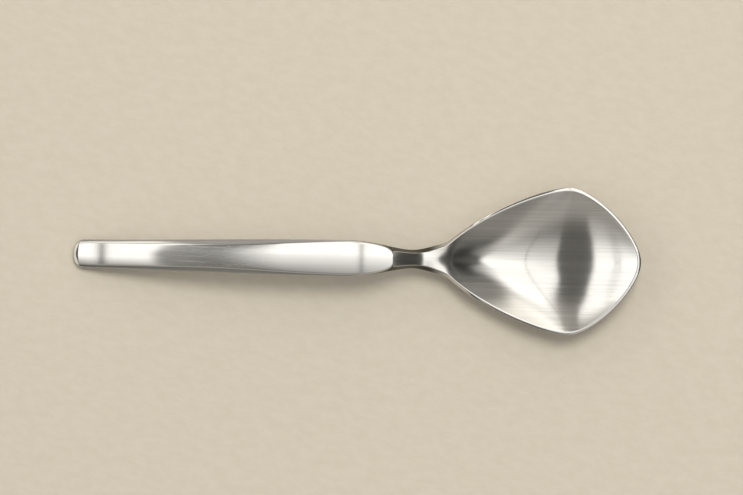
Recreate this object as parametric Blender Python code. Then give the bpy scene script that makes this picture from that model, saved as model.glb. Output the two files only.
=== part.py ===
"""Sugar spoon: a pressed steel bowl whose neck ends in a tang, soldered into a forged steel handle.

Metres, +Z up. X runs from the handle's butt to the bowl's tip, and both sides of the XZ plane are alike.
The origin lies under the middle of the spoon's length, on the table that the spoon rests on.
"""
import math

import bpy
import numpy as np
from mathutils import Vector

MM = 0.001

# Lengths along X
HANDLE_LENGTH = 69.6 * MM       # butt to the end of the nose
NECK_LENGTH = 9.5 * MM          # nose to the point where the bowl's sides would meet
BOWL_LENGTH = 44.0 * MM         # from that point to the tip
CROWN_FROM_BUTT = 48.4 * MM     # highest point of the handle
SHOULDER_FROM_BUTT = 55.2 * MM  # widest point of the handle
NOSE_ROUND = 10.2 * MM          # length over which the top face rounds off into the nose
FACE_SPREAD_START = 34.0 * MM   # from the butt, where the top face begins to widen
RAMP_FROM_NOSE = 3.2 * MM       # steepest point of the neck
WAIST_FROM_NOSE = 4.2 * MM      # narrowest point of the neck
FACE_LAG = 1.3 * MM             # the neck's top face opens out this far behind its outline
SADDLE_FROM_ROOT = -1.25 * MM   # where the neck runs level before it drops into the bowl
WALL_FROM_ROOT = 4.4 * MM       # steepest point of the bowl's back wall
TROUGH_FROM_ROOT = 8.5 * MM     # where the bowl's back begins to open out of its V
SPINE_FROM_ROOT = 15.0 * MM     # where the neck has thinned out into the sheet of the bowl
WIDEST_FROM_TIP = 15.7 * MM
BOTTOM_FROM_TIP = 23.85 * MM

# Widths
BUTT_WIDTH = 6.1 * MM
SHOULDER_WIDTH = 7.75 * MM
WAIST_WIDTH = 3.95 * MM
ROOT_WIDTH = 7.3 * MM           # of the flare that joins the neck to the bowl
BOWL_WIDTH = 31.8 * MM
BUTT_FACE = 4.6 * MM            # the top face is narrower than the body under it
SHOULDER_FACE = 7.0 * MM
NOSE_FACE = 2.5 * MM
RAMP_FACE = 3.4 * MM            # top of the neck where it leaves the nose
WAIST_FACE = 2.9 * MM
RIM_BAND = 0.45 * MM            # width of the rim seen from above

# Heights of the upper surface on the centre line
BUTT_HEIGHT = 2.45 * MM
CROWN_HEIGHT = 11.9 * MM
NOSE_HEIGHT = 11.05 * MM
RAMP_HEIGHT = 9.4 * MM
SADDLE_HEIGHT = 7.35 * MM
WALL_HEIGHT = 5.3 * MM
RIM_HEIGHT = 7.3 * MM           # at the bowl's side corners
TIP_HEIGHT = 7.8 * MM

# Slopes of the upper surface on the centre line
BUTT_SLOPE = 0.39
NOSE_SLOPE = -0.11
NECK_SLOPE = -0.40              # of the neck where it leaves the nose
RAMP_SLOPE = -0.58
SADDLE_SLOPE = -0.12
WALL_SLOPE = -0.53
TIP_SLOPE = 0.597
RIM_TIP_SLOPE = 0.05            # of the rim as it reaches the tip

# Thicknesses
BUTT_THICKNESS = 2.95 * MM
SHOULDER_THICKNESS = 5.2 * MM
NOSE_THICKNESS = 5.0 * MM
WAIST_THICKNESS = 3.7 * MM
NOSE_THINNING = -0.05           # change of thickness along X, at the end of the handle
RAMP_THINNING = -0.35           # in front of the nose
WAIST_THINNING = -0.16
SHEET = 1.0 * MM                # the bowl's metal
RIM_EDGE = 0.7 * MM             # and at its rim
RIM_TAPER = 2.0 * MM            # the metal thins over this height below the rim
FOOT_CUT = 0.15 * MM            # depth of the flat ground under the bowl
BUTT_EDGE = 0.2                 # share of the belly that is left at the end of the butt
RIM_RISE = 0.06 * MM            # the rim's outer edge lies higher than its inner edge
NOSE_DROP = 1.0 * MM            # the bevel beside the top face deepens by this much at the nose

# Roundings
BUTT_CORNER = 2.0 * MM          # corners of the butt, seen from above
BUTT_BEVEL = 1.15 * MM          # reach of the bevel across the end of the butt
BEVEL_SLOPE = 0.13              # of the bevel where it starts
BEVEL_RADIUS = 2.6 * MM         # and its curve
BUTT_ROUND = 2.0 * MM           # reach of the rounding under the end of the butt
BOWL_EASE = 0.8 * MM            # softens the bowl's corners and tip
TAPER_POWER = 1.3               # how late the body draws in towards the waist
NOSE_POWER = 2.3                # bluntness of the nose, seen from above
BACK_POWER = 1.35               # superellipse exponent of the outline behind the widest point
FRONT_POWER = 1.445             # and in front of it
JOIN_EASE = 0.5 * MM            # blend between the neck's flare and the bowl's outline
CROWN_RATIO = 0.13              # rise of the top face across its half-width
RAMP_CROWN = 0.3 * MM           # more rise across the neck where it leaves the nose
TROUGH_BLUNT = 0.35             # how round the V of the bowl's back is
BOWL_BLUNT = 1.5                # and the bowl at its widest
FLANK_SLOPE = 0.80              # of the bevel beside the handle's top face
SIDE_SHARE = 0.55               # share of the neck's thickness above its widest line
UNDER_POWER = 2.6               # superellipse exponent of the rounded underside

# Tang joint
TANG_DIAMETER = 2.0 * MM
TANG_LENGTH = 12.0 * MM
TANG_ROOT = 2.5 * MM            # how far the tang's metal runs on inside the neck
SOLDER_WALL = 0.3 * MM
SOLDER_END = 0.8 * MM           # solder past the tang's end
FIT_GAP = 0.25 * MM             # between touching pieces

# Flat under the bowl
GRIND_DEPTH = 4.0 * MM          # of the block that grinds it

# Sampling
COLUMNS = 18
EDGE_ROW = 0.22 * MM            # row spacing at the butt, the nose and the tip
BEND_ROW = 0.75 * MM            # on the neck
BOWL_ROW = 1.15 * MM
HANDLE_ROW = 2.8 * MM
NOSE_FINE = 2.0 * MM            # length of the closest rows, at the end of the nose
TIP_FINE = 0.4 * MM             # and at the last row of the bowl
LAST_ROW_FROM_TIP = 2.4 * MM    # where the last row, which follows the tip, meets the sides
SLOPE_STEP = 0.02 * MM          # for measuring the slope of the bowl's inside
ROUND_SIDES = 24
SHARP_ANGLE = math.radians(28)

LENGTH = HANDLE_LENGTH + NECK_LENGTH + BOWL_LENGTH
BUTT = -LENGTH / 2
NOSE = BUTT + HANDLE_LENGTH
ROOT = NOSE + NECK_LENGTH
TIP = ROOT + BOWL_LENGTH
RAMP = NOSE + RAMP_FROM_NOSE
WAIST = NOSE + WAIST_FROM_NOSE
SADDLE = ROOT + SADDLE_FROM_ROOT
WALL = ROOT + WALL_FROM_ROOT
TROUGH = ROOT + TROUGH_FROM_ROOT
SPINE_END = ROOT + SPINE_FROM_ROOT
WIDEST = TIP - WIDEST_FROM_TIP
BOTTOM = TIP - BOTTOM_FROM_TIP
INNER_TIP = TIP - RIM_BAND
BOWL_FLOOR = SHEET - FOOT_CUT
SOCKET_DIAMETER = TANG_DIAMETER + 2 * (SOLDER_WALL + 2 * FIT_GAP)
SOCKET_DEPTH = TANG_LENGTH + SOLDER_END + 2 * FIT_GAP


def ease(t):
    """Smooth step from 0 to 1 for t from 0 to 1, level at both ends."""
    t = np.clip(t, 0, 1)
    return t * t * (3 - 2 * t)


def soft_max(a, b):
    """The larger of two widths, with the corner between them rounded."""
    return (a + b + np.sqrt((a - b) ** 2 + JOIN_EASE ** 2)) / 2


def curve_through(x, knots):
    """Smooth curve of cubic pieces through knots, each a station, a value and a slope."""
    places, values, slopes = (np.array(column) for column in zip(*knots))
    piece = np.clip(np.searchsorted(places, x) - 1, 0, len(knots) - 2)
    span = places[piece + 1] - places[piece]
    t = (x - places[piece]) / span
    rise = values[piece + 1] - values[piece]
    bend = slopes[piece] * span * t * (1 - t) ** 2 - slopes[piece + 1] * span * t * t * (1 - t)
    return values[piece] + rise * t * t * (3 - 2 * t) + bend


def stations(*stretches):
    """Rows along X: each stretch is a start, an end and the widest spacing between its rows."""
    steps = [np.linspace(start, end, math.ceil((end - start) / spacing), endpoint=False)
             for start, end, spacing in stretches]
    return np.concatenate(steps + [[stretches[-1][1]]])


def taper_half(x):
    """Half-width of the body from the shoulder through the nose to the waist."""
    start = NOSE - NOSE_ROUND
    t = np.clip((x - start) / (WAIST - start), 0, 1) ** TAPER_POWER
    return (SHOULDER_WIDTH - (SHOULDER_WIDTH - WAIST_WIDTH) * ease(t)) / 2


def butt_corner(x):
    """What the rounded corners of the butt take off the half-width: quarter circles."""
    inside = np.clip(BUTT_CORNER - (x - BUTT), 0, BUTT_CORNER)
    return BUTT_CORNER - np.sqrt(BUTT_CORNER ** 2 - inside ** 2)


def handle_half(x):
    """Half-width of the handle, with the butt's corners rounded."""
    widen = ease((x - BUTT) / SHOULDER_FROM_BUTT)
    body = (BUTT_WIDTH + (SHOULDER_WIDTH - BUTT_WIDTH) * widen) / 2
    return np.minimum(body, taper_half(x)) - butt_corner(x)


def handle_face(x):
    """Half-width of the handle's top face: it widens to the shoulder and ends in an elliptic nose."""
    spread = HANDLE_LENGTH - NOSE_ROUND - FACE_SPREAD_START
    body = (BUTT_FACE + (SHOULDER_FACE - BUTT_FACE) * ease((x - BUTT - FACE_SPREAD_START) / spread)) / 2
    t = np.clip((x - NOSE + NOSE_ROUND) / NOSE_ROUND, 0, 1)
    nose = NOSE_FACE / 2 + (body - NOSE_FACE / 2) * np.sqrt(1 - t ** NOSE_POWER)
    return nose - butt_corner(x)


def flank_drop(x):
    """Drop from the top face's edge to the widest line: an even bevel, deeper at the nose."""
    bevel = FLANK_SLOPE * (handle_half(x) - handle_face(x))
    return bevel + NOSE_DROP * ease((x - NOSE + NOSE_ROUND) / NOSE_ROUND)


def butt_fall(x):
    """Drop of the top face across the end of the butt: a bevel that bends down as a parabola."""
    reach = np.clip(BUTT + BUTT_BEVEL - x, 0, BUTT_BEVEL)
    return BEVEL_SLOPE * reach + reach ** 2 / (2 * BEVEL_RADIUS)


def handle_top(x):
    """Height of the handle's top on the centre line."""
    return curve_through(x, [
        (BUTT, BUTT_HEIGHT, BUTT_SLOPE),
        (BUTT + CROWN_FROM_BUTT, CROWN_HEIGHT, 0.0),
        (NOSE, NOSE_HEIGHT, NOSE_SLOPE),
    ])


def handle_thickness(x):
    """Thickness of the handle on the centre line."""
    return curve_through(x, [
        (BUTT, BUTT_THICKNESS, 0.0),
        (BUTT + SHOULDER_FROM_BUTT, SHOULDER_THICKNESS, 0.0),
        (NOSE, NOSE_THICKNESS, NOSE_THINNING),
    ])


def handle_middle(x):
    """Height half-way through the handle on the centre line."""
    return handle_top(x) - handle_thickness(x) / 2


def eased(distance):
    """Distance with its start rounded, so that an outline has no corner there."""
    return np.sqrt(distance ** 2 + BOWL_EASE ** 2) - BOWL_EASE


def bowl_outline(x, inset):
    """Half-width of the bowl's kite: two superellipse halves that meet at the widest point."""
    behind = x < WIDEST
    reach = np.where(behind, WIDEST - ROOT, TIP - WIDEST) - inset
    power = np.where(behind, BACK_POWER, FRONT_POWER)
    along = np.clip(eased(x - WIDEST) / eased(reach), 0, 1)
    across = eased(BOWL_WIDTH / 2 - inset) * (1 - along ** power) ** (1 / power)
    return np.sqrt((across + BOWL_EASE) ** 2 - BOWL_EASE ** 2)


def outline_front(y, inset):
    """Station of the bowl's front edge at distance y from the centre line: the outline turned about."""
    across = np.clip(eased(y) / eased(BOWL_WIDTH / 2 - inset), 0, 1)
    along = eased(TIP - WIDEST - inset) * (1 - across ** FRONT_POWER) ** (1 / FRONT_POWER)
    return WIDEST + np.sqrt((along + BOWL_EASE) ** 2 - BOWL_EASE ** 2)


def neck_flare(x, start):
    """Share of the way from the waist's width to the width where the neck meets the bowl."""
    return ease((x - start) / (WALL - start))


def outer_half(x):
    """Half-width of the neck and the bowl."""
    neck = taper_half(x) + (ROOT_WIDTH - WAIST_WIDTH) / 2 * neck_flare(x, WAIST)
    return soft_max(neck, bowl_outline(x, 0.0))


def inner_half(x):
    """Half-width of the neck's top face, which opens into the inside of the bowl."""
    face = (RAMP_FACE + (WAIST_FACE - RAMP_FACE) * ease((x - NOSE) / WAIST_FROM_NOSE)) / 2
    neck = face + (ROOT_WIDTH / 2 - RIM_BAND - WAIST_FACE / 2) * neck_flare(x, WAIST + FACE_LAG)
    return soft_max(neck, bowl_outline(x, RIM_BAND))


def bowl_top(x):
    """Height of the neck's top and of the bowl's inside on the centre line."""
    return curve_through(x, [
        (NOSE, NOSE_HEIGHT, NECK_SLOPE),
        (RAMP, RAMP_HEIGHT, RAMP_SLOPE),
        (SADDLE, SADDLE_HEIGHT, SADDLE_SLOPE),
        (WALL, WALL_HEIGHT, WALL_SLOPE),
        (BOTTOM, BOWL_FLOOR, 0.0),
        (INNER_TIP, TIP_HEIGHT, TIP_SLOPE),
    ])


def rim_line(x):
    """Height of the rim, which starts from the neck at the saddle."""
    rim = curve_through(np.maximum(x, SADDLE), [
        (SADDLE, SADDLE_HEIGHT, SADDLE_SLOPE),
        (WIDEST, RIM_HEIGHT, 0.0),
        (INNER_TIP, TIP_HEIGHT, RIM_TIP_SLOPE),
    ])
    return np.where(x < SADDLE, bowl_top(x), rim)


def bowl_share(x):
    """0 where the section is the solid bar of the neck, 1 where it is the thin shell of the bowl."""
    return ease((x - SADDLE) / (SPINE_END - SADDLE))


def edge_height(x):
    """Height of the neck's edges, which become the rim of the bowl."""
    return rim_line(x) - CROWN_RATIO * inner_half(x) * (1 - bowl_share(x))


def cross_rise(x, across):
    """Rise across the section, 0 in the middle and 1 at the edge: a rounded V that opens into a parabola."""
    blunt = TROUGH_BLUNT + (BOWL_BLUNT - TROUGH_BLUNT) * ease((x - TROUGH) / (WIDEST - TROUGH))
    return (np.sqrt(across ** 2 + blunt ** 2) - blunt) / (np.sqrt(1 + blunt ** 2) - blunt)


def inside_height(x, y):
    """Height of the upper surface: crowned on the neck, and from floor to rim in the bowl."""
    x = np.minimum(x, INNER_TIP)
    across = np.clip(np.abs(y) / inner_half(x), 0, 1)
    ramp = RAMP_CROWN * (1 - ease((x - NOSE) / WAIST_FROM_NOSE))
    return bowl_top(x) + (edge_height(x) - ramp - bowl_top(x)) * cross_rise(x, across)


def neck_thickness(x):
    """Thickness on the centre line, from the nose to the sheet of the bowl."""
    return curve_through(np.minimum(x, SPINE_END), [
        (NOSE, NOSE_THICKNESS, RAMP_THINNING),
        (WAIST, WAIST_THICKNESS, WAIST_THINNING),
        (SPINE_END, SHEET, 0.0),
    ])


def sheet_thickness(x, y):
    """Thickness of the bowl's metal, which thins towards the rim."""
    below_rim = edge_height(np.minimum(x, INNER_TIP)) - inside_height(x, y)
    return RIM_EDGE + (SHEET - RIM_EDGE) * ease(below_rim / RIM_TAPER)


def shell_depth(x, y):
    """Drop from the inside of the bowl to its back, square to the sheet, with the neck's spine running in."""
    along = (inside_height(x + SLOPE_STEP, y) - inside_height(x - SLOPE_STEP, y)) / (2 * SLOPE_STEP)
    across = (inside_height(x, np.abs(y)) - inside_height(x, np.abs(y) - SLOPE_STEP)) / SLOPE_STEP
    spine = (1 - np.clip(np.abs(y) / inner_half(np.minimum(x, INNER_TIP)), 0, 1) ** 2) ** 2
    sheet = sheet_thickness(x, y) + (neck_thickness(x) - SHEET) * spine
    return sheet * np.sqrt(1 + along ** 2 + across ** 2)


def rounded_under(across):
    """Share of the depth under the widest line, for a place across the body from -1 to 1."""
    return np.clip(1 - np.abs(across) ** UNDER_POWER, 0, 1) ** (1 / UNDER_POWER)


def handle_surfaces():
    """Upper and lower surfaces of the handle, as rows along X of points across Y."""
    x = stations((BUTT, BUTT + BUTT_BEVEL, EDGE_ROW), (BUTT + BUTT_BEVEL, BUTT + BUTT_ROUND, EDGE_ROW),
                 (BUTT + BUTT_ROUND, NOSE - NOSE_ROUND, HANDLE_ROW),
                 (NOSE - NOSE_ROUND, NOSE - NOSE_FINE, BEND_ROW),
                 (NOSE - NOSE_FINE, NOSE - FIT_GAP / 2, EDGE_ROW))[:, None]
    across = np.linspace(-1, 1, COLUMNS + 1)[None, :]
    under_across = np.sin(across * math.pi / 2)
    face = handle_face(x)
    edge = handle_top(x) - butt_fall(x) - CROWN_RATIO * face
    widest = edge - flank_drop(x)
    depth = widest - handle_top(x) + handle_thickness(x)
    from_end = np.clip((x - BUTT) / BUTT_ROUND, 0, 1)
    turn = BUTT_EDGE + (1 - BUTT_EDGE) * np.sqrt(1 - (1 - from_end) ** 2)
    upper_z = edge + CROWN_RATIO * face * (1 - across ** 2)
    lower_z = widest - depth * turn * rounded_under(under_across)
    upper = np.stack(np.broadcast_arrays(x, face * across, upper_z), axis=-1)
    lower = np.stack(np.broadcast_arrays(x, handle_half(x) * under_across, lower_z), axis=-1)
    return upper, lower


def bowed_row(x, across, half_at, inset):
    """Rows that bow forward from the widest point on, until the last follows the front edge itself."""
    last = x[-1, 0]
    swell = np.clip((x - WIDEST) / (last - WIDEST), 0, 1) ** 2
    front = outline_front(half_at(np.array(last)) * np.abs(across), inset)
    front = np.where(np.abs(across) == 1, last, front)
    return x + swell * (front - last), half_at(x) * across


def bowl_surfaces():
    """Upper and lower surfaces of the neck and bowl, as rows along X of points across Y."""
    last = TIP - LAST_ROW_FROM_TIP
    x = stations((NOSE + FIT_GAP / 2, WAIST, BEND_ROW), (WAIST, WALL, BEND_ROW), (WALL, WIDEST, BOWL_ROW),
                 (WIDEST, last - TIP_FINE, BOWL_ROW), (last - TIP_FINE, last, EDGE_ROW))[:, None]
    across = np.linspace(-1, 1, COLUMNS + 1)[None, :]
    under_across = np.sin(across * math.pi / 2)
    upper_x, upper_y = bowed_row(x, across, inner_half, RIM_BAND)
    lower_x, lower_y = bowed_row(x, under_across, outer_half, 0.0)
    share = bowl_share(lower_x)
    side_drop = (1 - share) * SIDE_SHARE * neck_thickness(lower_x) - share * RIM_RISE
    widest = edge_height(np.minimum(lower_x, INNER_TIP)) - side_drop
    bar = widest - (widest - bowl_top(lower_x) + neck_thickness(lower_x)) * rounded_under(under_across)
    shell = inside_height(lower_x, lower_y) - shell_depth(lower_x, lower_y)
    lower_z = (1 - share) * bar + share * shell
    at_rim = np.abs(under_across) == 1
    lower_z = np.where(at_rim, widest, lower_z)
    lower_z[-1] = widest[-1]
    upper = np.stack([upper_x, upper_y, inside_height(upper_x, upper_y)], axis=-1)
    lower = np.stack([lower_x, lower_y, lower_z], axis=-1)
    return upper, lower


def closed_loft(name, upper, lower):
    """Closed mesh between two surfaces of like rows: both skins, the sides and the two ends."""
    rows, columns, _ = upper.shape
    top = np.arange(rows * columns).reshape(rows, columns)
    base = top + rows * columns

    def strip(a, b, c, d):
        return np.stack([a, b, c, d], axis=-1).reshape(-1, 4)

    faces = np.concatenate([
        strip(top[:-1, :-1], top[1:, :-1], top[1:, 1:], top[:-1, 1:]),
        strip(base[:-1, 1:], base[1:, 1:], base[1:, :-1], base[:-1, :-1]),
        strip(base[:-1, 0], base[1:, 0], top[1:, 0], top[:-1, 0]),
        strip(top[:-1, -1], top[1:, -1], base[1:, -1], base[:-1, -1]),
        strip(top[0, :-1], top[0, 1:], base[0, 1:], base[0, :-1]),
        strip(base[-1, :-1], base[-1, 1:], top[-1, 1:], top[-1, :-1]),
    ])
    points = np.concatenate([upper.reshape(-1, 3), lower.reshape(-1, 3)])
    mesh = bpy.data.meshes.new(name)
    mesh.from_pydata(points.tolist(), [], faces.tolist())
    return bpy.data.objects.new(name, mesh)


def rod(name, start, end, diameter):
    """Round bar between two points."""
    axis = Vector(end) - Vector(start)
    bpy.ops.mesh.primitive_cylinder_add(
        vertices=ROUND_SIDES, radius=diameter / 2, depth=axis.length,
        location=(Vector(start) + Vector(end)) / 2, rotation=axis.to_track_quat("Z", "Y").to_euler())
    bar = bpy.context.object
    bar.name = name
    bar.data.name = name
    bpy.context.collection.objects.unlink(bar)
    return bar


def along_tang(distance):
    """Point on the tang's axis, which follows the middle of the handle; positive distances lie inside it."""
    mouth = Vector((NOSE, 0, float(handle_middle(np.array(NOSE)))))
    inner = NOSE - SOCKET_DEPTH
    bottom = Vector((inner, 0, float(handle_middle(np.array(inner)))))
    return mouth + (bottom - mouth).normalized() * distance


def cutter(part, tool, operation):
    """Joins a tool to a part or cuts it out, and files the tool with the cutters."""
    tool.hide_render = True
    tool.display_type = "WIRE"
    cutters.objects.link(tool)
    change = part.modifiers.new(tool.name, "BOOLEAN")
    change.operation = operation
    change.object = tool


def steel(name, colour, roughness):
    """Plain metal of one colour."""
    material = bpy.data.materials.new(name)
    material.use_nodes = True
    shader = material.node_tree.nodes["Principled BSDF"]
    shader.inputs["Base Color"].default_value = (*colour, 1)
    shader.inputs["Metallic"].default_value = 1.0
    shader.inputs["Roughness"].default_value = roughness
    return material


def finish(part, material):
    """Gives a part its material and smooth shading, and files it with the spoon."""
    part.data.materials.append(material)
    part.data.shade_smooth()
    part.data.set_sharp_from_angle(angle=SHARP_ANGLE)
    spoon.objects.link(part)


def make_bowl():
    """Bowl, neck and tang in one piece, with a small flat ground under the bowl."""
    bowl = closed_loft("bowl", *bowl_surfaces())
    tang = rod("tang", along_tang(-TANG_ROOT), along_tang(TANG_LENGTH), TANG_DIAMETER)
    cutter(bowl, tang, "UNION")
    bpy.ops.mesh.primitive_cube_add(size=1, location=(BOTTOM, 0, -GRIND_DEPTH / 2))
    ground = bpy.context.object
    ground.name = "ground_flat"
    ground.scale = (BOWL_LENGTH, BOWL_WIDTH, GRIND_DEPTH)
    bpy.context.collection.objects.unlink(ground)
    cutter(bowl, ground, "DIFFERENCE")
    finish(bowl, steel("bowl_steel", (0.60, 0.59, 0.56), 0.26))


def make_handle():
    """Handle with the blind socket in its nose."""
    handle = closed_loft("handle", *handle_surfaces())
    socket = rod("socket", along_tang(-TANG_ROOT), along_tang(SOCKET_DEPTH), SOCKET_DIAMETER)
    cutter(handle, socket, "DIFFERENCE")
    finish(handle, steel("handle_steel", (0.63, 0.62, 0.59), 0.18))


def make_solder():
    """Cup of solder between the tang and the socket."""
    outer = SOCKET_DIAMETER - 2 * FIT_GAP
    solder = rod("tang_solder", along_tang(2 * FIT_GAP), along_tang(SOCKET_DEPTH - FIT_GAP), outer)
    space = rod("tang_space", along_tang(-TANG_ROOT), along_tang(TANG_LENGTH + FIT_GAP),
                TANG_DIAMETER + 2 * FIT_GAP)
    cutter(solder, space, "DIFFERENCE")
    finish(solder, steel("solder_silver", (0.55, 0.54, 0.50), 0.45))


for old in list(bpy.data.objects):
    bpy.data.objects.remove(old)
spoon = bpy.data.collections.new("sugar_spoon")
cutters = bpy.data.collections.new("cutters")
bpy.context.scene.collection.children.link(spoon)
bpy.context.scene.collection.children.link(cutters)
make_bowl()
make_handle()
make_solder()
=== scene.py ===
"""Sugar spoon in steel, on a pale table under soft studio light: a satin-brushed bowl and a worn, polished handle.

Metres, +Z up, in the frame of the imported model. X runs from the handle's butt to the bowl's tip, and both sides of
the XZ plane are alike. Both skins are rings of points that follow the spoon's section from one end to the other.
"""
import math

import bpy
import numpy as np
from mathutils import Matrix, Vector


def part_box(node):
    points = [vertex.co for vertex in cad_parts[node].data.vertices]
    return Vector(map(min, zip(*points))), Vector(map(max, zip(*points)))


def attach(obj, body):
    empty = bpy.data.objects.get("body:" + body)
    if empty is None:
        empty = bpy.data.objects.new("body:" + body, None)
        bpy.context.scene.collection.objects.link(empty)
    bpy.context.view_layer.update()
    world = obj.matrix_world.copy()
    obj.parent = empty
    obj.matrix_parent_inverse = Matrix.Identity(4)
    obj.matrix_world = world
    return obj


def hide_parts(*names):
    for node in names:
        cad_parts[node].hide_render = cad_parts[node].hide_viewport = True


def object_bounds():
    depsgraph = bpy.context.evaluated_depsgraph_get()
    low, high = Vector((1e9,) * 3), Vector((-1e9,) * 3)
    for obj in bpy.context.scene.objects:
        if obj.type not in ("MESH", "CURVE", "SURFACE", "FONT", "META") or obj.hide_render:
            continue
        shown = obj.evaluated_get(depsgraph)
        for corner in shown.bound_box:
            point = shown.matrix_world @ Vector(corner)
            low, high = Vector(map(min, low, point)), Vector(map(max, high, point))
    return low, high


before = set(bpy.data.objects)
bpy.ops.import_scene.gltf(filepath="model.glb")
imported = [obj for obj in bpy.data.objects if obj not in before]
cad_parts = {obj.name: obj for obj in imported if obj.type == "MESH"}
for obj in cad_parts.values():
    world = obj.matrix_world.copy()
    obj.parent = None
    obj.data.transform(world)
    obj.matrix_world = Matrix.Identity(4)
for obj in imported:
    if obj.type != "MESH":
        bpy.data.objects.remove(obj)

CAD_LOW, CAD_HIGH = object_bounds()
MM = 0.001

# Clearances of the joint
FIT_GAP = 0.25 * MM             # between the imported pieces
HAIRLINE = 0.02 * MM            # between the two skins

# Places along X
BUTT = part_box("handle")[0].x
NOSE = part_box("handle")[1].x + FIT_GAP / 2
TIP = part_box("bowl")[1].x
ROOT = TIP - 44.0 * MM          # where the bowl's sides would meet
CROWN = BUTT + 46.6 * MM        # highest point of the handle
SHOULDER = BUTT + 55.2 * MM     # widest point of the handle
FACE_SPREAD = BUTT + 27.0 * MM  # where the top face begins to widen
NOSE_START = NOSE - 10.2 * MM   # where the top face begins to round off
WAIST = NOSE + 4.2 * MM         # narrowest point of the neck
FACE_LAG = 1.3 * MM             # the neck's top face opens out this far behind its outline
RAMP = NOSE + 3.2 * MM          # steepest point of the neck
SADDLE = ROOT - 1.9 * MM        # where the neck runs level before it drops into the bowl
WALL = ROOT + 3.6 * MM          # steepest point of the bowl's back wall
TROUGH = ROOT + 8.5 * MM        # where the bowl begins to open out of its V
SPINE_END = ROOT + 15.0 * MM    # where the neck has thinned out into the sheet of the bowl
BOTTOM = TIP - 23.85 * MM       # lowest point of the bowl
WIDEST = TIP - 15.7 * MM        # widest point of the bowl
FAN_CENTRE = WIDEST + 6.0 * MM  # the rows of the bowl's front fan out to here

# Widths
BUTT_WIDTH = 6.3 * MM
SHOULDER_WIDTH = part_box("handle")[1].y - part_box("handle")[0].y
WAIST_WIDTH = 3.95 * MM
ROOT_WIDTH = 7.3 * MM
BOWL_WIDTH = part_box("bowl")[1].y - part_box("bowl")[0].y
BUTT_FACE = 4.9 * MM
SHOULDER_FACE = 7.0 * MM
NOSE_FACE = 2.0 * MM
RAMP_FACE = 3.2 * MM            # top of the neck where it leaves the nose
WAIST_FACE = 2.5 * MM
RIM_BAND = 0.65 * MM            # width of the rim seen from above

# Heights and slopes of the upper surface on the centre line
BUTT_HEIGHT = 2.0 * MM
CROWN_HEIGHT = CAD_HIGH.z
NOSE_HEIGHT = 11.05 * MM
RAMP_HEIGHT = 9.4 * MM
SADDLE_HEIGHT = 7.35 * MM
WALL_HEIGHT = 5.3 * MM
RIM_HEIGHT = 7.3 * MM
TIP_HEIGHT = 7.8 * MM
FLOOR_HEIGHT = 0.85 * MM        # of the bowl's inside
BUTT_SLOPE = 0.41
NOSE_SLOPE = -0.11
NECK_SLOPE = -0.40              # of the neck where it leaves the nose
RAMP_SLOPE = -0.58
SADDLE_SLOPE = -0.14
WALL_SLOPE = -0.53
TIP_SLOPE = 0.597
RIM_TIP_SLOPE = 0.05

# Thicknesses
BUTT_THICKNESS = 2.5 * MM
SHOULDER_THICKNESS = 5.2 * MM
NOSE_THICKNESS = 5.0 * MM
WAIST_THICKNESS = 3.7 * MM
NOSE_THINNING = -0.05           # change of thickness along X, at the end of the handle
RAMP_THINNING = -0.35           # in front of the nose
WAIST_THINNING = -0.16
SHEET = 1.0 * MM                # the bowl's metal
RIM_EDGE = 0.7 * MM             # and at its rim
RIM_DROP = 0.21 * MM            # the rim falls outwards by this much
RIM_TAPER = 2.0 * MM            # the metal thins over this height below the rim
NECK_WALL = 0.3 * MM            # upright side of the neck below its widest line
BUTT_EDGE = 0.2                 # share of the belly that is left at the end of the butt

# Forms and roundings
BUTT_CORNER = 2.2 * MM
CORNER_LEAD = 0.7 * MM          # the top face's corners lie this much nearer the end than its sides do
END_FLANK = 0.25 * MM           # least width of the bevel beside them
BUTT_BEVEL = 1.25 * MM          # reach of the bevel across the end of the butt
BEVEL_SLOPE = 0.13              # of the bevel where it starts
BEVEL_RADIUS = 3.2 * MM         # and its curve
BUTT_ROUND = 2.0 * MM           # reach of the rounding under the end of the butt
BUTT_BOW = 0.30 * MM            # the end of the butt is curved by this much
BOW_REACH = 4.0 * MM            # and the curve fades over this length
FLANK_SLOPE = 0.80              # of the bevel along the top face
NOSE_DROP = 1.0 * MM            # the bevel deepens by this much at the nose
FACE_ROUND = 0.30 * MM          # along the edges of the handle's top face
SIDE_ROUND = 0.40 * MM          # along its widest line
NECK_ROUND = 0.20 * MM          # along the edges of the neck's top
RIM_INNER_ROUND = 0.22 * MM     # which becomes the rim
RIM_OUTER_ROUND = 0.22 * MM
BOWL_EASE = 0.8 * MM            # rounds the bowl's outline where its halves meet and at the tip
TAPER_POWER = 1.3               # of the step from the shoulder to the waist
NOSE_POWER = 2.3                # of the superellipse that ends the top face
BACK_POWER = 1.35               # of the superellipse halves of the bowl's outline
FRONT_POWER = 1.445
JOIN_EASE = 0.5 * MM            # rounds the corner between the neck's outline and the bowl's
FACE_CROWN = 0.47 * MM          # rise of the handle's top face from its edges to the middle, at the butt
NECK_CROWN = 0.15 * MM          # rise of the neck's top from its edges to the middle
RAMP_CROWN = 0.3 * MM           # what is added to it where the neck leaves the nose
SIDE_SHARE = 0.55               # the neck's widest line lies this share of its thickness down
TROUGH_BLUNT = 0.35             # how round the V of the bowl's back is
BOWL_BLUNT = 1.5                # and the parabola of its front
UNDER_POWER = 2.6               # of the superellipse under the handle and the neck
SLOPE_STEP = 0.02 * MM          # to both sides of a point, for the slope there
LIP_START = 0.97                # share of a row where the slope inside the rim is taken
LEAST_WALL = 0.1 * MM           # of the rim's outer edge

# Wear: the stretch of the handle that the fingers hold
GRIP_START = BUTT + 10.0 * MM
GRIP_FULL = BUTT + 32.0 * MM
GRIP_FADE = BUTT + 38.0 * MM
GRIP_END = BUTT + 52.0 * MM

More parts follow.
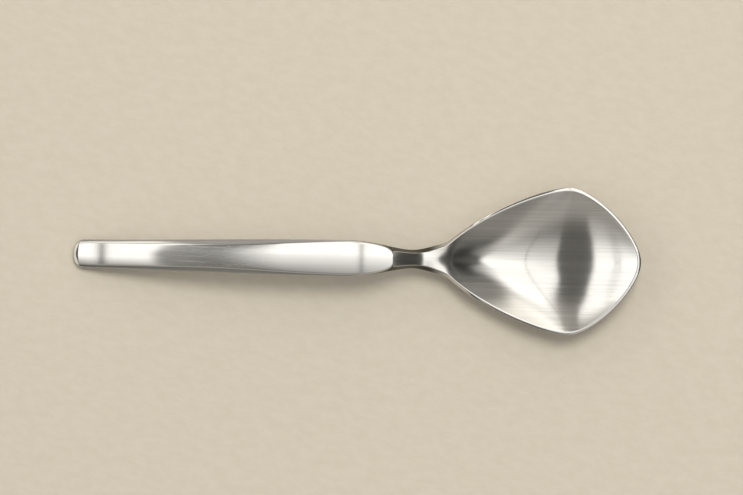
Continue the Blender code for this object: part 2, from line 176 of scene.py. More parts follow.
# Tang joint
TANG_DIAMETER = 2.0 * MM
TANG_LENGTH = 12.0 * MM
SOCKET_DIAMETER = 3.6 * MM
SOCKET_DEPTH = 13.3 * MM

# Points across half a section
FACE_POINTS = 40
ROUND_POINTS = 6
FLANK_POINTS = 4
UNDER_POINTS = 40
MOST_ROUND = 0.4                # share of a run that a rounding may take
QUARTER_TURN = math.pi / 2
SHARP_ANGLE = math.radians(40)

# Rows, and the widest spacing between them in each stretch
END_ROWS = 16                   # across the bevel of the butt
FRONT_ROWS = 150                # round the front of the bowl
BUTT_SPACING = 0.12 * MM
HANDLE_SPACING = 0.45 * MM
TAPER_SPACING = 0.25 * MM       # where the top face rounds off
NOSE_SPACING = 0.06 * MM
NOSE_REACH = 1.5 * MM           # length of the nose's own stretch
WAIST_SPACING = 0.2 * MM
FLARE_SPACING = 0.25 * MM       # where the neck opens out
BOWL_SPACING = 0.35 * MM

# Marks of a section's runs: edge polish, 1 along the worn and polished edges, and flank, 1 on the sides, which also
# places the painted shade
PLAIN = (0.0, 0.0)
FACE_EDGE = (1.0, 0.0)
BEVEL = (0.4, 0.4)
SIDE = (1.0, 1.0)
FOOT = (0.5, 0.5)
UNDERSIDE = (0.0, 0.4)

# Patterns of the finishes
BRUSH_LENGTH = 40 * MM
BRUSH_WIDTH = 0.24 * MM
BROAD_LINES = 4.0               # the broad brush lines are this many times as wide as the fine ones
BROAD_SHARE = 0.4               # of the broad lines in the bowl's tone
LINE_SHIFT = 0.37               # each brush line starts this share of its length after its neighbour
FLAT_LAYER = 0.5                # the layer of a noise that a flat pattern shows
NOISE_RANGE = (0.3, 0.7)        # where most of a noise lies
LINE_RANGE = (0.35, 0.65)       # of the brush lines in the bowl's tone
SMEAR_RANGE = (0.35, 0.7)
SCRATCH_EDGE = 0.05             # a scratch is full this far above its level
NICK_CORE = 0.5                 # share of a nick that is full

# Relief of the finishes: heights in metres, and depths as shares of them
SATIN_RELIEF = 0.0018 * MM
POLISHED_RELIEF = 0.002 * MM
SCRATCH_DEPTH = 0.25
BRUSH_DEPTH = 0.35
NICK_DEPTH = 1.2

# Roughness
SATIN_ROUGH = (0.245, 0.128)    # on the neck and in the bowl
SATIN_STRETCH = 0.72            # how much more the bowl's brushing spreads reflections across its lines
POLISHED_ROUGH = (0.06, 0.25)   # of the handle, polished and worn
SOLDER_ROUGH = (0.35, 0.5)
TABLE_ROUGH = 0.85
LINE_ROUGH = 0.012              # what brush lines add or take
SMEAR_ROUGH = 0.02              # what smears add
HURT_ROUGH = 0.05               # what scratches and nicks add
RIM_POLISH = 0.65               # share of it that is left on polished edges

# Strength of the marks of use, and of the painted shade
LEAST_WEAR = 0.1                # of the handle away from the fingers
SATIN_SMEAR = 0.5
POLISHED_SMEAR = 0.4
HURT_SHINE = 0.5
FLANK_PAINTED_SHADE = 0.5             # painted shade along the whole handle's flanks
PAINTED_SHADE_GAIN = 2.5              # a flank mark of 0.4 counts in full
PAINTED_SHADE_DULLING = 0.9           # share of the metal that the painted shade hides
STEEL_SPECULAR = 0.1

# Colours
SATIN_DARK = (0.59, 0.58, 0.555, 1.0)
SATIN_LIGHT = (0.675, 0.665, 0.64, 1.0)
SATIN_SMEARED = (0.61, 0.595, 0.56, 1.0)
POLISHED_DARK = (0.63, 0.62, 0.60, 1.0)
POLISHED_LIGHT = (0.67, 0.66, 0.64, 1.0)
POLISHED_SMEARED = (0.62, 0.605, 0.575, 1.0)
HURT_STEEL = (0.86, 0.85, 0.82, 1.0)
# Painted shade: the near-black coat put on the sides and underside of the neck and handle
PAINTED_SHADE_COLOUR = (0.035, 0.03, 0.02, 1.0)
SOLDER_LIGHT = (0.62, 0.58, 0.48, 1.0)
SOLDER_DARK = (0.50, 0.47, 0.40, 1.0)
TABLE_DARK = (0.475, 0.435, 0.36, 1.0)
TABLE_LIGHT = (0.505, 0.465, 0.39, 1.0)
PANEL_LIGHT = (1.0, 0.99, 0.97)
ROOM_LIGHT = (1.0, 0.96, 0.88)
LAMP_LIGHT = (1.0, 0.96, 0.90)

# Studio light: angles in degrees. A fade is two angles and what it gives at them.
OVERHEAD_LEFT = -13.4                           # straight part of the overhead panel's left edge
BEND_BACK = 16.0                                # where the edge begins to bend inwards, to the back
BEND_BACK_PULL = 0.014                          # and how fast
BEND_FRONT = -15.0                              # and to the front
BEND_FRONT_PULL = 0.0055
OVERHEAD_LEFT_SOFT = (34.0, 66.0, 1.2, 9.0)     # softness of the edge, by the angle back
OVERHEAD_RIGHT = (22.0, 56.0, 40.2, 47.0)       # place of the right edge, by the tilt to either side
OVERHEAD_RIGHT_SOFT = (12.0, 45.0, 2.5, 11.0)
OVERHEAD_BACK = (57.0, 70.0, 1.0, 0.2)          # its far end
OVERHEAD_FALL = (-46.0, 14.0, 0.05, 1.5)        # its light falls off to the front
FALL_SLANT = 0.5                                # and half as fast to the left
OVERHEAD_SEAM = (6.1, 0.38, 0.97)               # centre, half-width and depth
LEFT_INNER = (-35.6, -33.2, 1.0, 0.0)           # the left panel's inner edge
LEFT_INNER_BENDS = ((0.0, 60.0, 0.0, 3.5), (40.0, 66.0, 0.0, 11.0), (-60.0, -25.0, 3.0, 0.0))
LEFT_OUTER = (-66.0, -61.0, 0.0, 1.5)           # its outer edge, and its strength
LEFT_FRONT = (-53.0, -10.0, 0.0, 1.0)           # its light falls off to the front, as a power
LEFT_FRONT_POWER = 0.8
LEFT_BACK = (52.0, 63.0, 1.0, 0.0)
LEFT_SEAM = (-46.1, 0.95, 1.0)
LEFT_SEAM_LEAN = math.radians(7.0)
WINDOW_PANES = ((58.0, 66.0, 80.0, 96.0), (109.5, 113.5, 128.0, 140.0))     # round about, from +X
WINDOW_BACK = (65.0, 70.0, 0.0, 1.2)
WINDOW_SILL = (3.0, 7.0, 0.0, 1.0)
FAR_LEFT = (130.0, 150.0, 0.0, 0.9)             # a low bright strip beyond the butt
FAR_LEFT_FOOT = (-1.0, 2.0, 0.0, 1.0)
FAR_LEFT_HEAD = (9.0, 13.0, 1.0, 0.0)
NEAR_DARK = (-72.0, -62.0, 0.62, 0.0)           # what the room loses low in front
NEAR_DARK_END = (10.0, 40.0, 1.0, 0.0)
RIGHT_DARK = (39.0, 60.0, 0.0, 1.0)             # and to the right
RIGHT_DARK_TILTS = ((15.0, 42.0, 0.5, 0.9), (60.0, 70.0, 1.0, 0.3))
ROOM = (38.0, 57.0, 0.17, 0.46)                 # the room's own light, by the tilt
HORIZON = (3.0, 12.0, 0.45, 1.0)                # the panels and the room are dimmer near the table

# Table, lamp and camera
TABLE_SIZE = 3.0                # from its middle to its edges
TABLE_FIBRE = (3 * MM, 2 * MM)
LAMP_PLACE = (0.1, 0.36, 1.0)
LAMP_SIZE = 0.4
LAMP_POWER = 6.5
CAMERA_PLACE = (3.44 * MM, 2.35 * MM, 500 * MM)
CAMERA_TURN = math.radians(0.92)
VIEW_WIDTH = 160.1 * MM         # width of the picture at the height of the rim
SENSOR_WIDTH = 36.0             # in millimetres, as the lens


def ease(t):
    """Smooth step 3t^2 - 2t^3, from 0 to 1 and level at both ends."""
    t = np.clip(t, 0, 1)
    return t * t * (3 - 2 * t)


def soft_max(a, b):
    """The larger of two widths, with the corner between them rounded to a hyperbola."""
    return (a + b + np.sqrt((a - b) ** 2 + JOIN_EASE ** 2)) / 2


def curve_through(x, knots):
    """Cubic Hermite curve through knots, each a station, a value and a slope."""
    places, values, slopes = (np.array(column) for column in zip(*knots))
    piece = np.clip(np.searchsorted(places, x) - 1, 0, len(knots) - 2)
    span = places[piece + 1] - places[piece]
    t = (x - places[piece]) / span
    rise = values[piece + 1] - values[piece]
    bend = slopes[piece] * span * t * (1 - t) ** 2 - slopes[piece + 1] * span * t * t * (1 - t)
    return values[piece] + rise * t * t * (3 - 2 * t) + bend


def stations(*stretches):
    """Rows along X: each stretch is a start, an end and the widest spacing between its rows."""
    rows = [np.linspace(start, end, math.ceil((end - start) / spacing), endpoint=False)
            for start, end, spacing in stretches]
    return np.concatenate(rows + [[stretches[-1][1]]])


def taper_half(x):
    """Half-width from the shoulder through the nose to the waist: an eased step."""
    t = np.clip((x - NOSE_START) / (WAIST - NOSE_START), 0, 1) ** TAPER_POWER
    return (SHOULDER_WIDTH - (SHOULDER_WIDTH - WAIST_WIDTH) * ease(t)) / 2


def butt_corner(x):
    """What the rounded corners of the butt take off the half-width: quarter circles."""
    inside = np.clip(BUTT_CORNER - (x - BUTT), 0, BUTT_CORNER)
    return BUTT_CORNER - np.sqrt(BUTT_CORNER ** 2 - inside ** 2)


def handle_half(x):
    """Half-width of the handle: an eased taper with the butt's corners rounded."""
    widen = ease((x - BUTT) / (SHOULDER - BUTT))
    body = (BUTT_WIDTH + (SHOULDER_WIDTH - BUTT_WIDTH) * widen) / 2
    return np.minimum(body, taper_half(x)) - butt_corner(x)


def face_taper(x):
    """Half-width of the handle's top face without its ends: an eased taper."""
    return (BUTT_FACE + (SHOULDER_FACE - BUTT_FACE) * ease((x - FACE_SPREAD) / (NOSE_START - FACE_SPREAD))) / 2


def handle_face(x):
    """Half-width of the handle's top face: a taper that ends in rounded corners and in a superellipse nose."""
    t = np.clip((x - NOSE_START) / (NOSE - NOSE_START), 0, 1)
    nose = NOSE_FACE / 2 + (face_taper(x) - NOSE_FACE / 2) * np.sqrt(1 - t ** NOSE_POWER)
    return np.minimum(nose - butt_corner(x + CORNER_LEAD), handle_half(x) - END_FLANK)


def flank_drop(x):
    """Drop from the top face's edge to the widest line: an even bevel, eased to a deeper one at the nose."""
    return FLANK_SLOPE * (handle_half(x) - handle_face(x)) + NOSE_DROP * ease((x - NOSE_START) / (NOSE - NOSE_START))


def butt_fall(x):
    """Drop of the top face across the end of the butt: a bevel that bends down as a parabola."""
    reach = np.clip(BUTT + BUTT_BEVEL - x, 0, BUTT_BEVEL)
    return BEVEL_SLOPE * reach + reach ** 2 / (2 * BEVEL_RADIUS)


def handle_top(x):
    """Height of the handle's top on the centre line."""
    return curve_through(x, [
        (BUTT, BUTT_HEIGHT, BUTT_SLOPE),
        (CROWN, CROWN_HEIGHT, 0.0),
        (NOSE, NOSE_HEIGHT, NOSE_SLOPE),
    ])


def handle_thickness(x):
    """Thickness of the handle on the centre line."""
    return curve_through(x, [
        (BUTT, BUTT_THICKNESS, 0.0),
        (SHOULDER, SHOULDER_THICKNESS, 0.0),
        (NOSE, NOSE_THICKNESS, NOSE_THINNING),
    ])


def eased(distance):
    """Distance with its start rounded to a hyperbola, so that an outline has no corner there."""
    return np.sqrt(distance ** 2 + BOWL_EASE ** 2) - BOWL_EASE


def uneased(distance):
    """The distance whose eased value is given."""
    return np.sqrt((distance + BOWL_EASE) ** 2 - BOWL_EASE ** 2)


def bowl_outline(x, inset):
    """Half-width of the bowl's kite: two superellipse halves that meet at the widest point."""
    behind = x < WIDEST
    reach = np.where(behind, WIDEST - ROOT, TIP - WIDEST) - inset
    power = np.where(behind, BACK_POWER, FRONT_POWER)
    along = np.clip(eased(x - WIDEST) / eased(reach), 0, 1)
    return uneased(eased(BOWL_WIDTH / 2 - inset) * (1 - along ** power) ** (1 / power))


def front_outline(turn, inset):
    """Point on the bowl's front outline for a turn from 0, at the widest point, to a right angle, at the tip."""
    along = eased(TIP - WIDEST - inset) * np.sin(turn) ** (2 / FRONT_POWER)
    across = eased(BOWL_WIDTH / 2 - inset) * np.abs(np.cos(turn)) ** (2 / FRONT_POWER)
    return WIDEST + uneased(along), uneased(across)


def neck_flare(x, start):
    """Share of the way from the waist's width to the width where the neck meets the bowl."""
    return ease((x - start) / (WALL - start))


def outer_half(x):
    """Half-width of the neck and the bowl."""
    neck = taper_half(x) + (ROOT_WIDTH - WAIST_WIDTH) / 2 * neck_flare(x, WAIST)
    return soft_max(neck, bowl_outline(x, 0.0))


def inner_half(x):
    """Half-width of the neck's top face, which opens into the inside of the bowl."""
    face = (RAMP_FACE + (WAIST_FACE - RAMP_FACE) * ease((x - NOSE) / (WAIST - NOSE))) / 2
    neck = face + (ROOT_WIDTH / 2 - RIM_BAND - WAIST_FACE / 2) * neck_flare(x, WAIST + FACE_LAG)
    bowl = bowl_outline(x, RIM_BAND)
    return np.where(x < WIDEST, soft_max(neck, bowl), np.maximum(bowl, HAIRLINE))


def bowl_top(x):
    """Height of the neck's top and of the bowl's inside on the centre line."""
    return curve_through(x, [
        (NOSE, NOSE_HEIGHT, NECK_SLOPE),
        (RAMP, RAMP_HEIGHT, RAMP_SLOPE),
        (SADDLE, SADDLE_HEIGHT, SADDLE_SLOPE),
        (WALL, WALL_HEIGHT, WALL_SLOPE),
        (BOTTOM, FLOOR_HEIGHT, 0.0),
        (TIP - RIM_BAND, TIP_HEIGHT, TIP_SLOPE),
    ])


def bowl_share(x):
    """0 where the section is the solid bar of the neck, 1 where it is the thin shell of the bowl."""
    return ease((x - SADDLE) / (SPINE_END - SADDLE))


def edge_height(x):
    """Height of the neck's edges, which become the rim of the bowl."""
    rim = curve_through(np.maximum(x, SADDLE), [
        (SADDLE, SADDLE_HEIGHT, SADDLE_SLOPE),
        (WIDEST, RIM_HEIGHT, 0.0),
        (TIP - RIM_BAND, TIP_HEIGHT, RIM_TIP_SLOPE),
    ])
    return np.where(x < SADDLE, bowl_top(x), rim) - NECK_CROWN * (1 - bowl_share(x))


def cross_rise(x, across):
    """Rise across the section, from 0 in the middle to 1 at the edge: a rounded V that opens into a parabola."""
    blunt = TROUGH_BLUNT + (BOWL_BLUNT - TROUGH_BLUNT) * ease((x - TROUGH) / (WIDEST - TROUGH))
    return (np.sqrt(across ** 2 + blunt ** 2) - blunt) / (np.sqrt(1 + blunt ** 2) - blunt)


def inside_height(x, y):
    """Height of the upper surface, from the centre line to the neck's edges or the rim."""
    crown = RAMP_CROWN * (1 - ease((x - NOSE) / (WAIST - NOSE)))
    return bowl_top(x) + (edge_height(x) - crown - bowl_top(x)) * cross_rise(x, y / inner_half(x))


def neck_thickness(x):
    """Thickness on the centre line, from the nose to the sheet of the bowl."""
    return curve_through(np.minimum(x, SPINE_END), [
        (NOSE, NOSE_THICKNESS, RAMP_THINNING),
        (WAIST, WAIST_THICKNESS, WAIST_THINNING),
        (SPINE_END, SHEET, 0.0),
    ])


def side_height(x):
    """Height of the neck's widest line, which becomes the rim's outer edge."""
    share = bowl_share(x)
    return edge_height(x) - (1 - share) * SIDE_SHARE * neck_thickness(x) - share * RIM_DROP


def under_height(x, y):
    """Height of the underside: a superellipse bar under the neck, eased into a shell square to the sheet."""
    across = np.clip(y / outer_half(x), 0, 1)
    start = side_height(x) - NECK_WALL
    belly = np.clip(1 - across ** UNDER_POWER, 0, 1) ** (1 / UNDER_POWER)
    bar = start - (start - bowl_top(x) + neck_thickness(x)) * belly
    ahead = np.where(x < TIP - RIM_BAND - SLOPE_STEP, x + SLOPE_STEP, x)
    behind = x - SLOPE_STEP
    along = (inside_height(ahead, y) - inside_height(behind, y)) / (ahead - behind)
    sideways = (inside_height(x, y + SLOPE_STEP) - inside_height(x, y - SLOPE_STEP)) / (2 * SLOPE_STEP)
    spine = (1 - np.clip(y / inner_half(x), 0, 1) ** 2) ** 2
    below_rim = edge_height(x) - inside_height(x, y)
    sheet = RIM_EDGE + (SHEET - RIM_EDGE) * ease(below_rim / RIM_TAPER) + (neck_thickness(x) - SHEET) * spine
    shell = inside_height(x, y) - sheet * np.sqrt(1 + along ** 2 + sideways ** 2)
    share = bowl_share(x)
    return np.maximum((1 - share) * bar + share * shell, 0)


def points(x, y, z):
    """Coordinates side by side as points."""
    return np.stack(np.broadcast_arrays(x, y, z), axis=-1)


def steps(count):
    """Even shares from 0 up to, but without, 1."""
    return np.arange(count) / count


def straight(start, end, count):
    """Runs from a point of each row to another, without their ends."""
    t = steps(count)[None, :, None]
    return start[:, None] + (end - start)[:, None] * t


def rounded(before, corner, after, count):
    """Quadratic Bezier arcs that cut a corner of each row, without their ends."""
    t = steps(count)[None, :, None]
    return (1 - t) ** 2 * before[:, None] + 2 * t * (1 - t) * corner[:, None] + t ** 2 * after[:, None]


def towards(start, end, reach):
    """The point that lies a set distance along the way, but never past what a rounding may take of it."""
    way = end - start
    length = np.linalg.norm(way, axis=-1, keepdims=True)
    return start + way * np.minimum(reach / length, MOST_ROUND)


def whole_rings(*runs):
    """Closed rings from runs that join into half-sections, from the top of the middle plane to its foot.

    Each run is its points and their marks. The rings come back with the marks of their points.
    """
    half = np.concatenate([run for run, _ in runs], axis=1)
    half[:, [0, -1], 1] = 0
    rings = np.concatenate([half, half[:, -2:0:-1] * (1, -1, 1)], axis=1)
    marks = np.concatenate([np.tile(pair, (run.shape[1], 1)) for run, pair in runs])
    polish, flank = np.concatenate([marks, marks[-2:0:-1]]).T
    return rings, {"edge_polish": polish, "flank": flank}


def handle_rings():
    """Sections of the handle: a crowned face, a rounded edge, a flank, a rounded side and a superellipse belly."""
    bevel = BUTT + BUTT_BEVEL * (1 - np.cos(np.linspace(0, QUARTER_TURN, END_ROWS + 1)[:-1]))
    x = np.concatenate([bevel, stations(
        (BUTT + BUTT_BEVEL, BUTT + BOW_REACH, BUTT_SPACING),
        (BUTT + BOW_REACH, NOSE_START, HANDLE_SPACING),
        (NOSE_START, NOSE - NOSE_REACH, TAPER_SPACING),
        (NOSE - NOSE_REACH, NOSE - HAIRLINE, NOSE_SPACING))])
    face = handle_face(x)
    half = handle_half(x)
    bend = FACE_CROWN * np.sqrt(2 * face_taper(x) / BUTT_FACE) / face_taper(x) ** 2
    middle = handle_top(x) - butt_fall(x)
    edge = middle - bend * face ** 2
    side = edge - flank_drop(x)
    from_end = np.clip((x - BUTT) / BUTT_ROUND, 0, 1)
    turn = BUTT_EDGE + (1 - BUTT_EDGE) * np.sqrt(1 - (1 - from_end) ** 2)
    depth = (side - handle_top(x) + handle_thickness(x)) * turn

    face_end = face - np.minimum(FACE_ROUND, MOST_ROUND * face)
    y = face_end[:, None] * np.sin(steps(FACE_POINTS) * QUARTER_TURN)
    top = points(x[:, None], y, middle[:, None] - bend[:, None] * y ** 2)
    before_edge = points(x, face_end, middle - bend * face_end ** 2)
    edge_line = points(x, face, edge)
    side_line = points(x, half, side)
    after_edge = towards(edge_line, side_line, FACE_ROUND)
    before_side = towards(side_line, edge_line, SIDE_ROUND)
    reach = np.minimum(SIDE_ROUND / depth, MOST_ROUND)
    start = np.arcsin(reach ** (UNDER_POWER / 2))
    angle = start[:, None] + (QUARTER_TURN - start[:, None]) * np.linspace(0, 1, UNDER_POINTS + 1)
    belly = points(x[:, None], half[:, None] * np.abs(np.cos(angle)) ** (2 / UNDER_POWER),
                   side[:, None] - depth[:, None] * np.sin(angle) ** (2 / UNDER_POWER))
    rings, marks = whole_rings(
        (top, PLAIN),
        (rounded(before_edge, edge_line, after_edge, ROUND_POINTS), FACE_EDGE),
        (straight(after_edge, before_side, FLANK_POINTS), BEVEL),
        (rounded(before_side, side_line, belly[:, 0], ROUND_POINTS), SIDE),
        (belly, UNDERSIDE))
    fade = 1 - ease((rings[..., 0] - BUTT) / BOW_REACH)
    rings[..., 0] += BUTT_BOW * fade * (2 * rings[..., 1] / BUTT_WIDTH) ** 2
    return rings, marks


def bowl_rings():
    """Sections of the neck and bowl: each runs from the spine to the rim, over it and back underneath.

    The rows lie square to the spine up to the widest point, and then fan out round the tip. The last lies on the
    middle plane, where the two sides meet.
    """
    x = stations((NOSE + HAIRLINE, WAIST, WAIST_SPACING), (WAIST, WALL, FLARE_SPACING), (WALL, WIDEST, BOWL_SPACING))
    turn = np.linspace(0, QUARTER_TURN, FRONT_ROWS + 1)[1:]
    front_x, front_y = front_outline(turn, 0.0)
    front_inner_x, front_inner_y = front_outline(turn, RIM_BAND)
    spine = np.concatenate([x, WIDEST + (FAN_CENTRE - WIDEST) * np.sin(turn)])
    rim_x = np.concatenate([x, front_x])
    rim_y = np.concatenate([outer_half(x), front_y])
    inner_x = np.concatenate([x, front_inner_x])
    inner_y = np.concatenate([inner_half(x), front_inner_y])
    rim_y[-1] = 0
    inner_y[-1] = 0

    def on_way(end_x, end_y, share):
        """Places on the rows' lines, as shares of the way from the spine."""
        return spine[:, None] + (end_x - spine)[:, None] * share, end_y[:, None] * share

    span = np.hypot(inner_x - spine, inner_y)[:, None]
    shell = bowl_share(spine)[:, None]
    inner_round = (1 - shell) * NECK_ROUND + shell * RIM_INNER_ROUND
    keep = 1 - inner_round / span
    place = on_way(inner_x, inner_y, np.sin(np.linspace(0, QUARTER_TURN, FACE_POINTS + 1)) * keep)
    upper = points(*place, inside_height(*place))
    inner_line = points(inner_x, inner_y, inside_height(inner_x, inner_y))
    shown = np.minimum(rim_x, TIP - RIM_BAND)
    rim_line = points(rim_x, rim_y, side_height(shown))
    rim_span = np.hypot(rim_x - spine, rim_y)[:, None]
    near_rim = inside_height(*on_way(inner_x, inner_y, LIP_START))
    lip_slope = (inner_line[:, 2:] - near_rim) / ((1 - LIP_START) * span)

    def underneath(share):
        """Heights of the underside on the rows' lines; round the front, the lip keeps the slope inside the rim."""
        within = np.minimum(share * rim_span, span)
        front = under_height(*on_way(inner_x, inner_y, within / span)) + lip_slope * (share * rim_span - within)
        behind = under_height(*on_way(np.minimum(rim_x, WIDEST), rim_y, share))
        return np.where(rim_x[:, None] > WIDEST, front, behind)

    foot = underneath(np.ones(1))[:, 0]
    foot_line = points(rim_x, rim_y, np.minimum(foot, rim_line[:, 2] - LEAST_WALL))
    inwards = np.sin(np.linspace(QUARTER_TURN, 0, UNDER_POINTS + 1)) * keep
    under = points(*on_way(rim_x, rim_y, inwards), underneath(inwards))
    after_inner = towards(inner_line, rim_line, inner_round)
    before_rim = towards(rim_line, inner_line, RIM_OUTER_ROUND)
    after_rim = towards(rim_line, foot_line, RIM_OUTER_ROUND)
    before_foot = towards(foot_line, rim_line, RIM_OUTER_ROUND)
    return whole_rings(
        (upper[:, :-1], PLAIN),
        (rounded(upper[:, -1], inner_line, after_inner, ROUND_POINTS), FACE_EDGE),
        (straight(after_inner, before_rim, FLANK_POINTS), SIDE),
        (rounded(before_rim, rim_line, after_rim, ROUND_POINTS), SIDE),
        (straight(after_rim, before_foot, FLANK_POINTS), SIDE),
        (rounded(before_foot, foot_line, under[:, 0], ROUND_POINTS), FOOT),
        (under, UNDERSIDE))


def tang_ring(section, distance, diameter):
    """Circle round the tang's axis, a set distance into the handle, with its points at a section's own angles."""
    ends = np.array([NOSE, NOSE - SOCKET_DEPTH])
    heights = handle_top(ends) - handle_thickness(ends) / 2
    axis = np.array([ends[1] - ends[0], 0, heights[1] - heights[0]]) / np.hypot(*np.diff([ends, heights]))
    centre = np.array([ends[0], 0, heights[0]]) + axis * distance
    up = np.array([axis[2], 0, -axis[0]])
    angle = np.arctan2(section[:, 2] - heights[0], section[:, 1])[:, None]
    return centre + diameter / 2 * (np.cos(angle) * (0, 1, 0) + np.sin(angle) * up)


def in_scene(name, data):
    """New object of the scene."""
    thing = bpy.data.objects.new(name, data)
    bpy.context.scene.collection.objects.link(thing)
    return thing


def skin(name, rings, marks, zipped):
    """Closed mesh over rows of rings, with one face at the first row and the marks of its points.

    The last row has a face too or, where it is zipped, lies on the middle plane and both sides share its points.
    """
    rows, columns, _ = rings.shape
    index = np.arange(rows * columns).reshape(rows, columns)
    place = rings.reshape(-1, 3)
    if zipped:
        fold = np.arange(columns)
        index[-1] = index[-1, np.minimum(fold, columns - fold)]
        place = place[:index.max() + 1]
    after = np.roll(index, -1, axis=1)
    quads = np.stack([index[:-1], index[1:], after[1:], after[:-1]], axis=-1).reshape(-1, 4)
    ends = [index[0].tolist()] if zipped else [index[0].tolist(), index[-1, ::-1].tolist()]
    mesh = bpy.data.meshes.new(name)
    mesh.from_pydata(place.tolist(), [], quads.tolist() + ends)
    for mark, values in marks.items():
        mesh.attributes.new(mark, "FLOAT", "POINT").data.foreach_set("value", np.tile(values, rows)[:len(place)])
    mesh.shade_smooth()
    mesh.set_sharp_from_angle(angle=SHARP_ANGLE)
    return in_scene(name, mesh)


def feed(tree, socket, value):
    """Links a socket to another, or sets its constant."""
    if isinstance(value, bpy.types.NodeSocket):
        tree.links.new(value, socket)
    else:
        socket.default_value = value


def compute(tree, operation, *values):
    """Result of a Math node."""
    node = tree.nodes.new("ShaderNodeMath")
    node.operation = operation
    for socket, value in zip(node.inputs, values):
        feed(tree, socket, value)
    return node.outputs[0]


def product(tree, result, *others):
    """Values multiplied in order."""
    for value in others:
        result = compute(tree, "MULTIPLY", result, value)
    return result


def total(tree, result, *others):
    """Values added in order."""
    for value in others:
        result = compute(tree, "ADD", result, value)
    return result


def without(tree, share):
    """What a share leaves of 1."""
    return compute(tree, "SUBTRACT", 1.0, share)


def ramp(tree, value, start, end, low, high, smooth=True):
    """Value carried from one range to another, level outside it."""
    node = tree.nodes.new("ShaderNodeMapRange")
    node.interpolation_type = "SMOOTHSTEP" if smooth else "LINEAR"
    for name, part in (("Value", value), ("From Min", start), ("From Max", end), ("To Min", low), ("To Max", high)):
        feed(tree, node.inputs[name], part)
    return node.outputs["Result"]


def band(tree, value, start, full, fade, end):
    """1 from where a value is full to where it begins to fade, and 0 beyond its start and end: two smooth steps."""
    return product(tree, ramp(tree, value, start, full, 0.0, 1.0), ramp(tree, value, fade, end, 1.0, 0.0))


def blend(tree, share, first, second):
    """Mix of two colours."""
    node = tree.nodes.new("ShaderNodeMix")
    node.data_type = "RGBA"
    colours = [socket for socket in node.inputs if socket.type == "RGBA"]
    feed(tree, node.inputs["Factor"], share)
    feed(tree, colours[0], first)
    feed(tree, colours[1], second)
    return next(socket for socket in node.outputs if socket.type == "RGBA")


def split(tree, place):
    """The three coordinates of a place."""
    node = tree.nodes.new("ShaderNodeSeparateXYZ")
    tree.links.new(place, node.inputs[0])
    return node.outputs


def object_place(tree):
    """Object coordinates, which are the model's own."""
    return tree.nodes.new("ShaderNodeTexCoord").outputs["Object"]


def along_x(tree):
    """The place along the spoon."""
    return split(tree, object_place(tree))["X"]


def point_mark(tree, name):
    """One of the marks that the piece carries at its points."""
    node = tree.nodes.new("ShaderNodeAttribute")
    node.attribute_name = name
    return node.outputs["Fac"]


def drawn_out(tree, place, length, width, flat=False):
    """Coordinates in which a pattern of unit size has a length along X and a width across it.

    A flat pattern is laid on from above, so that its lines stay straight over a hollow.
    """
    x, y, z = split(tree, place)
    across = compute(tree, "DIVIDE", y, width)
    along = total(tree, compute(tree, "DIVIDE", x, length), product(tree, across, LINE_SHIFT))
    layer = FLAT_LAYER if flat else compute(tree, "DIVIDE", z, width)
    result = tree.nodes.new("ShaderNodeCombineXYZ")
    for socket, value in zip(result.inputs, (along, across, layer)):
        feed(tree, socket, value)
    return result.outputs[0]


def noise(tree, place, detail, roughness=0.5):
    """Fractal noise of unit size."""
    node = tree.nodes.new("ShaderNodeTexNoise")
    node.inputs["Scale"].default_value = 1.0
    node.inputs["Detail"].default_value = detail
    node.inputs["Roughness"].default_value = roughness
    tree.links.new(place, node.inputs["Vector"])
    return node.outputs["Fac"]


def effect(name, inputs, outputs):
    """Empty node group with named sockets: its tree, and the inner ends of its inputs and outputs."""
    tree = bpy.data.node_groups.new(name, "ShaderNodeTree")
    for socket, value in inputs:
        tree.interface.new_socket(name=socket, in_out="INPUT", socket_type="NodeSocketFloat").default_value = value
    for socket in outputs:
        tree.interface.new_socket(name=socket, in_out="OUTPUT", socket_type="NodeSocketFloat")
    return tree, tree.nodes.new("NodeGroupInput").outputs, tree.nodes.new("NodeGroupOutput").inputs


def placed(tree, effect_tree, **values):
    """Outputs of an effect placed in a material, with its own values."""
    node = tree.nodes.new("ShaderNodeGroup")
    node.node_tree = effect_tree
    for name, value in values.items():
        feed(tree, node.inputs[name], value)
    return node.outputs


def brush_lines():
    """Lines that a brushing wheel leaves along X: noise drawn out along X, fine in Height and broad in Tone."""
    tree, given, put = effect("brush_lines", [("Length", 12 * MM), ("Width", 0.2 * MM)], ["Height", "Tone"])
    place = object_place(tree)
    broad = product(tree, given["Width"], BROAD_LINES)
    for output, width in (("Height", given["Width"]), ("Tone", broad)):
        lines = drawn_out(tree, place, given["Length"], width, flat=True)
        feed(tree, put[output], noise(tree, lines, detail=2.0))
    return tree


def hairline_scratches():
    """Long, thin scratches: the crests of noise that is turned and drawn out, where it passes a level."""
    tree, given, put = effect("hairline_scratches", [
        ("Turn", 0.1), ("Length", 10 * MM), ("Width", 0.12 * MM), ("Level", 0.66)], ["Mask"])
    turn = tree.nodes.new("ShaderNodeVectorRotate")
    turn.rotation_type = "Z_AXIS"
    tree.links.new(object_place(tree), turn.inputs["Vector"])
    feed(tree, turn.inputs["Angle"], given["Turn"])
    crests = noise(tree, drawn_out(tree, turn.outputs[0], given["Length"], given["Width"], flat=True), detail=1.0)
    full = total(tree, given["Level"], SCRATCH_EDGE)
    feed(tree, put["Mask"], ramp(tree, crests, given["Level"], full, 0.0, 1.0))
    return tree


